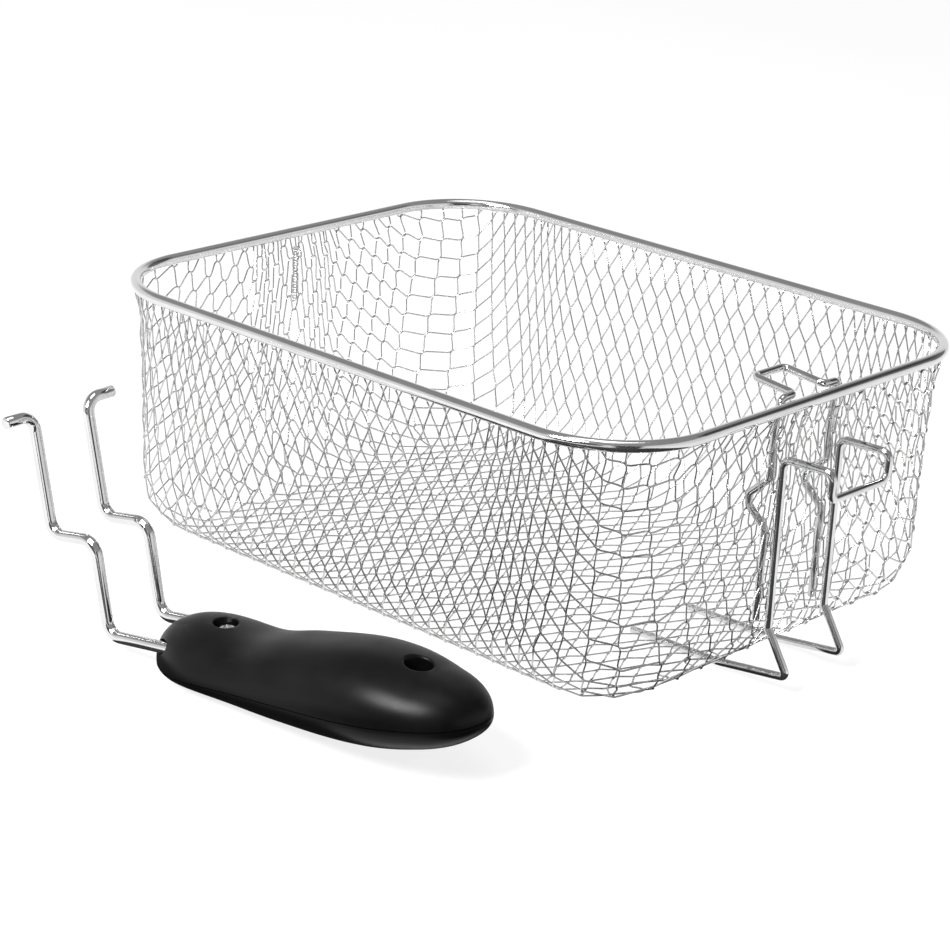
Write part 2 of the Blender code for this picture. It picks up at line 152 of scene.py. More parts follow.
HANDLE_PITCH = math.radians(-9.0)
HANDLE_YAW = math.radians(4.4)

# Camera, in the basket's own frame
VIEW_AZIMUTH = math.radians(-48.01)
VIEW_ELEVATION = math.radians(20.20)
VIEW_ROLL = math.radians(3.07)
VIEW_OFFSET = Vector((0.01667, -0.03018, -1.05245))
LENS = 106.63

# Floor and lights
FLOOR_TONE = 0.22
LIGHT_TABLE = 0.82
STAGE_REACH = 12.0
OVERHEAD_PLACE = (-0.1, 0.0, 1.8)
OVERHEAD_SIZE = (0.9, 0.9)
OVERHEAD_RADIANCE = 2.2
KEY_PLACE = (-0.98, 0.03, 0.93)
KEY_TARGET = (-0.12, -0.08, 0)
KEY_SIZE = (0.5, 0.5)
KEY_RADIANCE = 38.0

# Backdrop. Its dark areas have a heading in degrees, and edges given as the cosine of the angle from it
BACKDROP_FADE = (0.30, 0.55)
BACKDROP_LEVEL = 0.90
CEILING_LEVEL = 0.32
COLUMN_AZIMUTH = -123
COLUMN_SIDES = (0.17, 0.28)
COLUMN_FRONT = (0.2, 0.5)
COLUMN_TOP = (0.38, 0.50)
RIGHT_FLAG = (-15, 22)
RIGHT_FLAG_EDGE = (0.90, 0.96)
RIGHT_FLAG_DEPTH = 0.85
LEFT_FLAG = (188, 8)
LEFT_FLAG_EDGE = (0.86, 0.94)
LEFT_FLAG_DEPTH = 0.9
DARKEST = 0.95

# Black cards that lie flat in front of the near walls, as (x, y) corners. Only reflections see them: they give bright
# wire its dark core
CARD_HEIGHT = 0.0004
CARD_STEP = 0.0001
CARDS = (
    ((-0.062, 0.060), (-0.146, 0.040), (-0.146, -0.050), (-0.100, -0.100), (-0.062, -0.118)),
    (
        (0.058, -0.122),
        (0.030, -0.100),
        (-0.020, -0.085),
        (-0.056, -0.110),
        (-0.100, -0.115),
        (-0.150, -0.110),
        (-0.155, -0.020),
        (-0.600, 0.000),
        (-0.600, -0.600),
        (-0.170, -0.660),
    ),
    ((-0.600, -0.600), (-0.260, -0.652), (-3.250, -7.300), (-5.350, -5.950)),
)

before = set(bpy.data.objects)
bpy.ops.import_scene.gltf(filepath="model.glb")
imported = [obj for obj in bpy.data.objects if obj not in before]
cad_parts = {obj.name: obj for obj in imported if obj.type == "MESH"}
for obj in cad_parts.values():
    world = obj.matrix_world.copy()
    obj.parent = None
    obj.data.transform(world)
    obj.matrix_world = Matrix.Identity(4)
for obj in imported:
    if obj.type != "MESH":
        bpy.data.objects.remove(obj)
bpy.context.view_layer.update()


# Frames ------------------------------------------------------------------------------------------------------------


def centre_of(node):
    low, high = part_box(node)
    return (low + high) / 2


def placed(rotation, anchor, local_anchor):
    """The matrix that turns by rotation and carries local_anchor onto anchor."""
    shift = anchor - rotation @ Vector(local_anchor)
    return Matrix.Translation(shift) @ rotation.to_4x4()


BASKET = placed(Matrix.Rotation(STAND_TILT, 3, "X"), centre_of("rim_band"), (0, 0, RIM_HEIGHT))
HANDLE_TURN = Matrix.Rotation(HANDLE_YAW, 3, "Z") @ Matrix.Rotation(HANDLE_PITCH, 3, "X")
HANDLE = placed(HANDLE_TURN, centre_of("clamp_nut"), (0, WELL_Y, NUT_MIDDLE))


# Materials ---------------------------------------------------------------------------------------------------------


class Nodes:
    """Short calls for building a node tree."""

    def __init__(self, tree):
        self.tree = tree

    def add(self, kind, **settings):
        made = self.tree.nodes.new(kind)
        for key, value in settings.items():
            setattr(made, key, value)
        return made

    def link(self, source, target):
        self.tree.links.new(source, target)

    def set(self, socket, value):
        if isinstance(value, bpy.types.NodeSocket):
            self.link(value, socket)
        else:
            socket.default_value = value

    def math(self, operation, first, second=0.0):
        made = self.add("ShaderNodeMath", operation=operation)
        self.set(made.inputs[0], first)
        self.set(made.inputs[1], second)
        return made.outputs[0]

    def ease(self, value, start, end, low=0.0, high=1.0):
        made = self.add("ShaderNodeMapRange", interpolation_type="SMOOTHSTEP")
        self.set(made.inputs["Value"], value)
        for key, number in zip(("From Min", "From Max", "To Min", "To Max"), (start, end, low, high)):
            made.inputs[key].default_value = number
        return made.outputs["Result"]

    def dot(self, vector, axis):
        made = self.add("ShaderNodeVectorMath", operation="DOT_PRODUCT")
        self.link(vector, made.inputs[0])
        made.inputs[1].default_value = axis
        return made.outputs["Value"]

    def noise(self, vector, scale, detail=3.0, stretch=None):
        if stretch:
            mapping = self.add("ShaderNodeMapping")
            mapping.inputs["Scale"].default_value = stretch
            self.link(vector, mapping.inputs["Vector"])
            vector = mapping.outputs["Vector"]
        made = self.add("ShaderNodeTexNoise")
        made.inputs["Scale"].default_value = scale
        made.inputs["Detail"].default_value = detail
        self.link(vector, made.inputs["Vector"])
        return made.outputs["Fac"]

    def ramp(self, factor, stops):
        made = self.add("ShaderNodeValToRGB")
        ramp = made.color_ramp
        for element, (place, colour) in zip(ramp.elements, (stops[0], stops[-1])):
            element.position = place
            element.color = (*colour, 1)
        for place, colour in stops[1:-1]:
            ramp.elements.new(place).color = (*colour, 1)
        self.link(factor, made.inputs["Fac"])
        return made.outputs["Color"]


def new_material(name):
    made = bpy.data.materials.new(name)
    made.use_nodes = True
    nodes = Nodes(made.node_tree)
    shader = made.node_tree.nodes["Principled BSDF"]
    place = nodes.add("ShaderNodeTexCoord").outputs["Object"]
    return made, nodes, shader, place


def bump(nodes, shader, height, strength, distance):
    made = nodes.add("ShaderNodeBump")
    made.inputs["Strength"].default_value = strength
    made.inputs["Distance"].default_value = distance
    nodes.link(height, made.inputs["Height"])
    nodes.link(made.outputs["Normal"], shader.inputs["Normal"])


def metal(name, dark, light, polish, patch_scale, grain_scale, grain_depth, stretch=None):
    """Steel with slightly uneven tone and polish, and a fine drawn or rolled grain."""
    made, nodes, shader, place = new_material(name)
    patches = nodes.noise(place, patch_scale, 4)
    grain = nodes.noise(place, grain_scale, 2, stretch)
    blend = nodes.math("ADD", nodes.math("MULTIPLY", patches, 0.7), nodes.math("MULTIPLY", grain, 0.3))
    middle = [(a + b) / 2 for a, b in zip(dark, light)]
    tone = nodes.ramp(blend, ((0.32, dark), (0.50, middle), (0.68, light)))
    nodes.link(tone, shader.inputs["Base Color"])
    shader.inputs["Metallic"].default_value = 1.0
    nodes.link(nodes.ease(blend, 0.35, 0.65, *polish), shader.inputs["Roughness"])
    bump(nodes, shader, grain, 0.35, grain_depth)
    return made


def grip_plastic(name):
    """Black moulded plastic: very fine spark texture, with faint cloudiness in its sheen."""
    made, nodes, shader, place = new_material(name)
    cloud = nodes.noise(place, 60, 3)
    spark = nodes.noise(place, 2600, 2)
    tone = nodes.ramp(cloud, ((0.30, (0.0010, 0.0010, 0.0011)), (0.70, (0.0022, 0.0022, 0.0023))))
    nodes.link(tone, shader.inputs["Base Color"])
    blend = nodes.math("ADD", nodes.math("MULTIPLY", cloud, 0.6), nodes.math("MULTIPLY", spark, 0.4))
    nodes.link(nodes.ease(blend, 0.35, 0.65, 0.33, 0.41), shader.inputs["Roughness"])
    shader.inputs["Specular IOR Level"].default_value = 0.15
    bump(nodes, shader, spark, 0.25, 0.00003)
    return made


def floor_surface(name):
    made, nodes, shader, place = new_material(name)
    tone = nodes.ramp(nodes.noise(place, 3, 2), ((0.3, (FLOOR_TONE,) * 3), (0.7, (FLOOR_TONE + 0.02,) * 3)))
    nodes.link(tone, shader.inputs["Base Color"])
    shader.inputs["Roughness"].default_value = 0.9
    shader.inputs["Specular IOR Level"].default_value = 0.0
    shader.inputs["Emission Color"].default_value = (1, 1, 1, 1)
    shader.inputs["Emission Strength"].default_value = LIGHT_TABLE
    return made


def flag_surface(name):
    made, nodes, shader, place = new_material(name)
    tone = nodes.ramp(nodes.noise(place, 8, 2), ((0.3, (0.010, 0.010, 0.010)), (0.7, (0.020, 0.020, 0.020))))
    nodes.link(tone, shader.inputs["Base Color"])
    shader.inputs["Roughness"].default_value = 1.0
    return made


MESH_STEEL = metal(
    "woven_steel",
    dark=(0.52,) * 3,
    light=(0.65,) * 3,
    polish=(0.09, 0.16),
    patch_scale=90,
    grain_scale=1500,
    grain_depth=0.00002,
)
ROLLED_STEEL = metal(
    "rolled_rim_steel",
    dark=(0.64, 0.64, 0.645),
    light=(0.76, 0.76, 0.765),
    polish=(0.08, 0.13),
    patch_scale=45,
    grain_scale=700,
    grain_depth=0.00003,
    stretch=(1, 1, 9),
)
WIRE_STEEL = metal(
    "bracket_steel",
    dark=(0.58, 0.58, 0.585),
    light=(0.74, 0.74, 0.745),
    polish=(0.04, 0.09),
    patch_scale=120,
    grain_scale=900,
    grain_depth=0.00002,
)
BRIGHT_STEEL = metal(
    "prong_steel",
    dark=(0.66, 0.66, 0.665),
    light=(0.74, 0.74, 0.745),
    polish=(0.05, 0.09),
    patch_scale=60,
    grain_scale=900,
    grain_depth=0.00002,
)
ZINC_STEEL = metal(
    "fastener_steel",
    dark=(0.66, 0.66, 0.67),
    light=(0.86, 0.86, 0.87),
    polish=(0.12, 0.22),
    patch_scale=500,
    grain_scale=2500,
    grain_depth=0.00002,
)
BLACK_PLASTIC = grip_plastic("grip_plastic")


# Mesh helpers ------------------------------------------------------------------------------------------------------


def add_mesh(name, data, material, matrix, body, slot, *nodes):
    """A piece in its own frame, that rides on a body and stands for CAD nodes."""
    data.materials.append(material)
    data.transform(matrix)
    made = bpy.data.objects.new(name, data)
    bpy.context.scene.collection.objects.link(made)
    data.shade_smooth()
    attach(made, body)
    if nodes:
        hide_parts(*nodes)
    return made


def mesh_from(name, build):
    shape = bmesh.new()
    build(shape)
    bmesh.ops.recalc_face_normals(shape, faces=shape.faces)
    data = bpy.data.meshes.new(name)
    shape.to_mesh(data)
    shape.free()
    return data


def rounded_path(points, radii, steps=10):
    """The points with each inner corner replaced by an arc of its own radius, or less where a leg is short."""
    points = [Vector(p) for p in points]
    path = [points[0]]
    for before, corner, after, radius in zip(points, points[1:], points[2:], radii):
        towards, away = before - corner, after - corner
        half_angle = towards.angle(away) / 2
        reach = min(radius / math.tan(half_angle), 0.45 * towards.length, 0.45 * away.length)
        start = corner + towards.normalized() * reach
        end = corner + away.normalized() * reach
        inward = (towards.normalized() + away.normalized()).normalized()
        centre = corner + inward * (reach / math.cos(half_angle))
        sweep = (start - centre).angle(end - centre)
        for step in range(steps + 1):
            turn = sweep * step / steps
            share = math.sin(sweep - turn) / math.sin(sweep), math.sin(turn) / math.sin(sweep)
            path.append(centre + (start - centre) * share[0] + (end - centre) * share[1])
    path.append(points[-1])
    return path


def unit(vectors):
    return vectors / np.linalg.norm(vectors, axis=-1, keepdims=True)


def path_runs(path):
    """The direction of the path at each point, midway between the legs that meet there."""
    legs = unit(np.diff(path, axis=0))
    return unit(np.concatenate([legs[:1], legs[:-1] + legs[1:], legs[-1:]]))


def path_normals(path):
    """One normal per point, carried along the path without twisting."""
    runs = path_runs(path)
    first = np.cross(runs[0], (0.0, 0.0, 1.0))
    if np.linalg.norm(first) < 0.1:
        first = np.cross(runs[0], (1.0, 0.0, 0.0))
    normals = [first / np.linalg.norm(first)]
    for run in runs[1:]:
        carried = normals[-1] - run * np.dot(normals[-1], run)
        normals.append(carried / np.linalg.norm(carried))
    return np.array(normals)


def tube(path, normals, radii, sides):
    """Vertices and quads of a tube around the path, with a flat cap at each end."""
    runs = path_runs(path)
    across = unit(np.cross(runs, normals))
    up = np.cross(across, runs)
    turns = 2 * np.pi * (np.arange(sides) + 0.5) / sides
    rings = across[:, None] * np.cos(turns)[None, :, None] + up[:, None] * np.sin(turns)[None, :, None]
    points = path[:, None] + rings * np.asarray(radii).reshape(-1, 1, 1)
    count = len(path)
    faces = []
    for ring in range(count - 1):
        low, high = ring * sides, (ring + 1) * sides
        for k in range(sides):
            j = (k + 1) % sides
            faces.append((low + k, low + j, high + j, high + k))
    faces.append(tuple(range(sides))[::-1])
    faces.append(tuple(range((count - 1) * sides, count * sides)))
    return points.reshape(-1, 3), faces


def tubes_mesh(name, parts):
    """One mesh from several tubes."""
    points, faces, base = [], [], 0
    for part_points, part_faces in parts:
        points.append(part_points)
        faces += [tuple(base + k for k in face) for face in part_faces]
        base += len(part_points)
    data = bpy.data.meshes.new(name)
    data.from_pydata(np.concatenate(points).tolist(), [], faces)
    data.validate()
    return data


def round_wire(path, radius, sides=24, chamfer=0.00035):
    """A thick wire with a small chamfer round both of its cut ends."""
    path = np.array([tuple(p) for p in path])
    first, last = unit(path[1] - path[0]), unit(path[-2] - path[-1])
    path = np.concatenate([[path[0], path[0] + first * chamfer], path[1:-1], [path[-1] + last * chamfer, path[-1]]])
    radii = np.full(len(path), radius)
    radii[[0, -1]] = radius - chamfer
    return tube(path, path_normals(path), radii, sides)


# Woven mesh --------------------------------------------------------------------------------------------------------


def monotone(keys, values, place):
    """A smooth reading of a table that never overshoots, level at both ends."""
    keys, values = np.array(keys, float), np.array(values, float)
    widths = np.diff(keys)
    slopes = np.diff(values) / widths
    tangents = np.zeros(len(keys))
    for k in range(1, len(keys) - 1):
        before, after = slopes[k - 1], slopes[k]
        if before * after > 0:
            near, far = 2 * widths[k] + widths[k - 1], widths[k] + 2 * widths[k - 1]
            tangents[k] = (near + far) / (near / before + far / after)
    k = np.clip(np.searchsorted(keys, place, side="right") - 1, 0, len(widths) - 1)
    t = (place - keys[k]) / widths[k]
    start, end = tangents[k] * widths[k], tangents[k + 1] * widths[k]
    base = (2 * t**3 - 3 * t**2 + 1) * values[k] + (3 * t**2 - 2 * t**3) * values[k + 1]
    return base + (t**3 - 2 * t**2 + t) * start + (t**3 - t**2) * end


def wall_point(across, height):
    """A point of the tub in its +X +Y quarter. across runs 0..1 along the long wall, 1..2 round the corner and 2..3
    along the end wall; height is measured up the surface from the flat floor's edge."""
    bend = np.clip(height / FILLET_RADIUS, 0, np.pi / 2)
    straight = np.maximum(height - FILLET_RADIUS * np.pi / 2, 0)
    reach = FILLET_RADIUS * (1 - np.sin(bend))
    z = FLOOR_LEVEL + FILLET_RADIUS * (1 - np.cos(bend)) + straight
    fillet_top = FLOOR_LEVEL + FILLET_RADIUS
    rise = np.clip((z - fillet_top) / (NECK_LOW - fillet_top), 0, 1)
    neck = np.clip((z - NECK_LOW) / (NECK_HIGH - NECK_LOW), 0, 1)
    neck = 1 - neck * neck * (3 - 2 * neck)
    side = SIDE_DRAFT * (1 - SIDE_DRAFT_LOSS * rise) * neck + reach
    end = END_DRAFT * (1 - END_DRAFT_LOSS * rise) * neck + reach
    radius = np.maximum(CORNER_RADIUS - np.maximum(side, end), LEAST_CORNER)
    along, back = np.clip(across, 0, 1), np.clip(across - 2, 0, 1)
    turn = np.clip(across - 1, 0, 1) * np.pi / 2
    straight_x, straight_y = HALF_WIDTH - side - radius, HALF_LENGTH - end - radius
    x = np.where(across <= 2, straight_x + radius * np.cos(turn), straight_x * (1 - back))
    y = np.where(across < 1, straight_y * along, straight_y + radius * np.sin(turn))
    return np.stack(np.broadcast_arrays(x, y, z), -1)


def on_floor(x, y):
    """Whether the point is on the flat of the floor, which has small round corners."""
    half_x, half_y = HALF_WIDTH - SIDE_DRAFT - FILLET_RADIUS, HALF_LENGTH - END_DRAFT - FILLET_RADIUS
    slack = 1e-5
    over_x, over_y = abs(x) - (half_x - LEAST_CORNER), abs(y) - (half_y - LEAST_CORNER)
    if over_x > LEAST_CORNER + slack or over_y > LEAST_CORNER + slack:
        return False
    return min(over_x, over_y) <= 0 or math.hypot(over_x, over_y) <= LEAST_CORNER + slack


def weave_crossings():
    """Where wire i of one family crosses wire j of the other, as {(i, j): point}."""
    across = np.linspace(0, 3, EDGE_SAMPLES)
    edge = wall_point(across, 0.0)
    start_a = edge[:, 0] / CELL_LONG + edge[:, 1] / CELL_SHORT
    start_b = edge[:, 0] / CELL_LONG - edge[:, 1] / CELL_SHORT
    rise_a, rise_b = monotone(WEAVE_STATIONS, RISE_A, across), monotone(WEAVE_STATIONS, RISE_B, across)
    most = FILLET_RADIUS * np.pi / 2 + MESH_TOP - FILLET_RADIUS - FLOOR_LEVEL + SPARE_HEIGHT
    nudge = np.where(across < 1.5, 1e-7, -1e-7)
    found = {}
    for i in range(MOST_COUNT):
        height = (i - start_a) / rise_a
        count = start_b + rise_b * height + nudge
        whole = np.floor(count)
        held = (height > LOWEST_CROSSING) & (height < most)
        for k in np.flatnonzero(held[:-1] & held[1:] & (whole[:-1] != whole[1:])):
            j = int(max(whole[k], whole[k + 1]))
            share = (j - count[k]) / (count[k + 1] - count[k])
            x, y, z = wall_point(
                np.array(across[k] + share * (across[k + 1] - across[k])),
                np.array(max(height[k] + share * (height[k + 1] - height[k]), 0.0)),
            )
            found[(i, j)] = (x, y, z)
            found[(j, i)] = (x, -y, z)
            found[(-j, -i)] = (-x, y, z)
            found[(-i, -j)] = (-x, -y, z)
    for i in range(-MOST_COUNT, MOST_COUNT):
        for j in range(-MOST_COUNT, MOST_COUNT):
            x, y = CELL_LONG * (i + j) / 2, CELL_SHORT * (i - j) / 2
            if on_floor(x, y):
                found[(i, j)] = (x, y, FLOOR_LEVEL)
    return {key: np.array(place) for key, place in found.items()}


def gather_seam(place):
    """Draws the mesh in towards the laced seam at the top of the back wall."""
    x, y, z = place
    if y < 0.5 * HALF_LENGTH:
        return place
    high = min(max((z - GATHER_START) / GATHER_RUN, 0), 1)
    return np.array((x * (1 - GATHER * high * math.exp(-((x / GATHER_WIDTH) ** 2))), y, z))


def crossing_frames(crossings):
    """For each crossing, half the stretch that both wires share there and the normal into the basket."""
    frames = {}
    for (i, j), place in crossings.items():
        runs = []
        for before, after in (((i, j - 1), (i, j + 1)), ((i - 1, j), (i + 1, j))):
            run = crossings.get(after, place) - crossings.get(before, place)
            size = np.linalg.norm(run)
            runs.append(run / size if size > 0 else None)
        if runs[0] is None or runs[1] is None:
            continue
        normal = np.cross(runs[0], runs[1])
        # The wider the wires cross, the longer they lie side by side
        twist = TWIST * np.linalg.norm(runs[0] - runs[1]) / 2
        frames[(i, j)] = (unit(runs[0] + runs[1]) * twist, unit(normal))
    return frames


def weave_paths(crossings, frames, family, lift):
    """Every wire of one family, as (count, points, normals)."""
    wires = {}
    for key in frames:
        wires.setdefault(key[family], []).append(key)
    for count, keys in sorted(wires.items()):
        keys.sort(key=lambda key: key[1 - family])
        if len(keys) < 2:
            continue
        points, normals = [], []
        for i, j in keys:
            shared, normal = frames[(i, j)]
            over = lift if (i + j) % 2 == 0 else -lift
            middle = crossings[(i, j)] + normal * over
            points += [middle - shared, middle + shared]
            normals += [normal, normal]
        yield count, np.array(points), np.array(normals)


def soften(points, normals, reach, twist_reach):
    """Each corner of the path cut off, so that the wire bends in two gentle steps."""
    soft, soft_normals = [points[0]], [normals[0]]
    for k in range(1, len(points) - 1):
        twist_ahead = k % 2 == 0
        for other, is_twist in ((k - 1, not twist_ahead), (k + 1, twist_ahead)):
            run = points[other] - points[k]
            size = np.linalg.norm(run)
            cut = min(twist_reach if is_twist else reach, 0.4 * size)
            soft.append(points[k] + run * cut / size)
            soft_normals.append(normals[k])
    return np.array(soft + [points[-1]]), np.array(soft_normals + [normals[-1]])


def clip_at_rim(points, normals):
    """The stretch of the wire under the rim, ended exactly at the mesh's top."""
    low = np.flatnonzero(points[:, 2] <= MESH_TOP)
    if len(low) < 2:
        return None
    first, last = low[0], low[-1]
    kept, kept_normals = list(points[first : last + 1]), list(normals[first : last + 1])
    for inner, outer, at in ((first, first - 1, 0), (last, last + 1, None)):
        if not 0 <= outer < len(points):
            continue
        share = (MESH_TOP - points[inner][2]) / (points[outer][2] - points[inner][2])
        end = points[inner] + share * (points[outer] - points[inner])
        kept.insert(0 if at == 0 else len(kept), end)
        kept_normals.insert(0 if at == 0 else len(kept_normals), normals[inner])
    return np.array(kept), np.array(kept_normals)


def add_woven_mesh():
    rough = np.random.default_rng(WEAVE_SEED)
    crossings = {key: gather_seam(p) + rough.normal(0, WEAVE_JITTER, 3) for key, p in weave_crossings().items()}
    frames = crossing_frames(crossings)
    for family, letter, lift in ((0, "a", CRIMP), (1, "b", -CRIMP)):
        halves = {"left": [], "right": []}
        for count, points, normals in weave_paths(crossings, frames, family, lift):
            clipped = clip_at_rim(*soften(points, normals, BEND_CUT, TWIST_CUT))
            if clipped is not None:
                radii = np.full(len(clipped[0]), MESH_WIRE)
                halves["left" if count < 0 else "right"].append(tube(*clipped, radii, MESH_SIDES))
        for half, parts in halves.items():
            name = f"woven_wires_{letter}_{half}"
            data = tubes_mesh(name, parts)
            add_mesh(name, data, MESH_STEEL, BASKET, "basket", "steel_mesh", "wire_mesh")


# Rim and seam ------------------------------------------------------------------------------------------------------


def rim_line(z, steps):
    line = []
    for quarter, (sx, sy) in enumerate(((1, 1), (-1, 1), (-1, -1), (1, -1))):
        for step in range(steps + 1):
            turn = math.radians(90 * (quarter + step / steps))
            x = sx * (HALF_WIDTH - CORNER_RADIUS) + CORNER_RADIUS * math.cos(turn)
            y = sy * (HALF_LENGTH - CORNER_RADIUS) + CORNER_RADIUS * math.sin(turn)
            line.append(Vector((x, y, z)))
    return line


def band_section():
    """The rolled band's C-shaped section, as offsets (outwards, up) from the rim's centre line."""
    outline = []
    for radius, steps, order in ((BAND_RADIUS, 32, 1), (BAND_RADIUS - BAND_WALL, 20, -1)):
        opening = math.asin(BAND_SLIT / 2 / radius)
        start, end = -math.pi / 2 + opening, 1.5 * math.pi - opening
        arc = [start + (end - start) * step / steps for step in range(steps + 1)]
        outline += [(radius * math.cos(turn), radius * math.sin(turn)) for turn in arc][::order]
    return outline


def build_band(shape):
    section = band_section()
    line = rim_line(RIM_HEIGHT, 20)
    count = len(line)
    rings = []
    for i, place in enumerate(line):
        run_in, run_out = (place - line[i - 1]).normalized(), (line[(i + 1) % count] - place).normalized()
        mean = (run_in + run_out).normalized()
        outwards = mean.cross(Vector((0, 0, 1))) / mean.dot(run_in)
        rings.append([shape.verts.new(place + outwards * u + Vector((0, 0, v))) for u, v in section])
    for i, ring in enumerate(rings):
        following = rings[(i + 1) % count]
        for k in range(len(section)):
            j = (k + 1) % len(section)
            shape.faces.new((ring[k], ring[j], following[j], following[k]))


def add_rim():
    data = mesh_from("rolled_rim", build_band)
    band = add_mesh("rolled_rim", data, ROLLED_STEEL, BASKET, "basket", "rolled_steel", "rim_band")
    band.data.set_sharp_from_angle(angle=math.radians(50))


def add_lacing():
    """The seam's wire: two strands wound round each other, from the rim down the gathered mesh."""
    steps = 16 * LACING_TURNS
    middle = HALF_LENGTH - 0.8 * END_DRAFT
    share = np.arange(steps + 1) / steps
    height = SEAM_BOTTOM + (SEAM_TOP - SEAM_BOTTOM) * share
    parts = []
    for phase in (0, math.pi):
        turn = 2 * np.pi * LACING_TURNS * share + phase
        path = np.stack((LACING_RADIUS * np.cos(turn), middle + LACING_RADIUS * np.sin(turn), height), -1)
        parts.append(tube(path, path_normals(path), np.full(len(path), LACING_WIRE), 8))
    data = tubes_mesh("seam_twist", parts)
    add_mesh("seam_twist", data, MESH_STEEL, BASKET, "basket", "steel_wire", "seam_lacing")


# Bracket wires and prongs ------------------------------------------------------------------------------------------


def mirrored(half):
    """The +X half of a wire's points, led up to by their mirror image."""
    left = [Vector((-x, y, z)) for x, y, z in half]
    return left + [Vector((x, y, z)) for x, y, z in reversed(half)]


def add_brackets():
    leg, bridge = LEG_SPACING / 2, BRIDGE_WIDTH / 2
    foot_y, foot_z = FOOT_END
    hook = [
        (leg, foot_y, foot_z),
        (leg, FRONT_WALL + OUTER_FILLET, -0.0020),
        (leg, FRONT_WALL - 0.0092, 0.0020),
        (leg, FRONT_WALL + 0.0004, 0.0173),
        (leg, FRONT_WALL + 0.0004, 0.0784),
        (leg, FRONT_WALL - 0.0202, 0.0790),
        (leg, FRONT_WALL - 0.0196, 0.0692),
    ]
    socket = [
        (leg, FRONT_WALL + 0.0060, 0.0186),
        (leg, FRONT_WALL + 0.0056, 0.0520),
        (leg, FRONT_WALL + 0.0132, 0.0585),
        (leg, FRONT_WALL + 0.0130, 0.0628),
        (leg, FRONT_WALL + 0.0052, 0.0700),
        (leg, FRONT_WALL + 0.0050, RIM_HEIGHT - 0.0070),
        (leg, FRONT_WALL + 0.0039, RIM_HEIGHT + 0.0021),
        (bridge, FRONT_WALL + 0.0039, RIM_HEIGHT + 0.0023),
        (bridge, FRONT_WALL + 0.0212, RIM_HEIGHT + 0.0040),
    ]
    hook_path = rounded_path(mirrored(hook), [FOOT_BEND] * 3 + [HOOK_BEND] * 6 + [FOOT_BEND] * 3)
    socket_path = rounded_path(mirrored(socket), [SOCKET_BEND] * (2 * len(socket) - 2))
    for name, path, node in (
        ("drain_hook", hook_path, "drain_hook_wire"),
        ("handle_socket", socket_path, "socket_wire"),
    ):
        data = tubes_mesh(name, [round_wire(path, WIRE_RADIUS, WIRE_SIDES)])
        piece = add_mesh(name, data, WIRE_STEEL, BASKET, "basket", "steel_wire", node)
        piece.data.set_sharp_from_angle(angle=math.radians(50))


def add_prongs():
    for name, side in (("left_prong", -1), ("right_prong", 1)):
        x, tail_x = side * PRONG_SPACING / 2, side * PRONG_TAIL_SPACING / 2
        points = [
            (tail_x, -0.032, PRONG_LEVEL),
            (tail_x, -0.024, PRONG_LEVEL),
            (x, -0.012, PRONG_LEVEL),
            (x, 0.0171, PRONG_LEVEL),
            (x, 0.0197, 0.0400),
            (x, 0.0405, 0.0393),
            (x, 0.0445, 0.0809),
            (x + side * PRONG_TIP, 0.0445, 0.0809),
        ]
        path = rounded_path(points, [PRONG_BEND] * (len(points) - 2), 14)
        data = tubes_mesh(name + "_wire", [round_wire(path, PRONG_RADIUS, PRONG_SIDES)])
        piece = add_mesh(name + "_wire", data, BRIGHT_STEEL, HANDLE, name, "bright_wire", name)
        piece.data.set_sharp_from_angle(angle=math.radians(50))


# Grip --------------------------------------------------------------------------------------------------------------


def hermite(stations, values, place):
    """A smooth reading of a table whose stations run downwards, level beyond both ends."""
    if place >= stations[0]:
        return values[0]
    for i in range(len(stations) - 1):
        if place < stations[i + 1]:
            continue
        step = stations[i + 1] - stations[i]
        share = (place - stations[i]) / step
        slopes = []
        for k in (i, i + 1):
            low, high = max(k - 1, 0), min(k + 1, len(stations) - 1)
            slopes.append((values[high] - values[low]) / (stations[high] - stations[low]) * step)
        a, b = 2 * share**3 - 3 * share**2 + 1, share**3 - 2 * share**2 + share
        c, d = 3 * share**2 - 2 * share**3, share**3 - share**2
        return a * values[i] + b * slopes[0] + c * values[i + 1] + d * slopes[1]
    return values[-1]


def grip_section(y, heights, inset=0.0):
    """Half width and height of the grip at y."""
    mouth, tail = GRIP_MOUTH - inset, GRIP_TAIL + inset
    into_mouth = min(max((y - (mouth - MOUTH_ROUNDING)) / MOUTH_ROUNDING, 0), 1)
    into_tail = min(max(((tail + TAIL_ROUNDING) - y) / TAIL_ROUNDING, 0), 1)
    mouth_scale = (1 - into_mouth**MOUTH_POWER) ** (1 / MOUTH_POWER)
    scale = mouth_scale * (1 - into_tail**TAIL_POWER) ** (1 / TAIL_POWER)
    half_width = (hermite(GRIP_STATIONS, GRIP_HALF_WIDTHS, y) - inset) * scale
    return half_width, max((hermite(GRIP_STATIONS, heights, y) - inset) * scale, LEAST_HEIGHT)


def crown_height(x, y):
    half_width, height = grip_section(y, GRIP_CROWNS)
    return PARTING + height * (1 - min(abs(x) / half_width, 1) ** SECTION_POWER) ** (1 / SECTION_POWER)


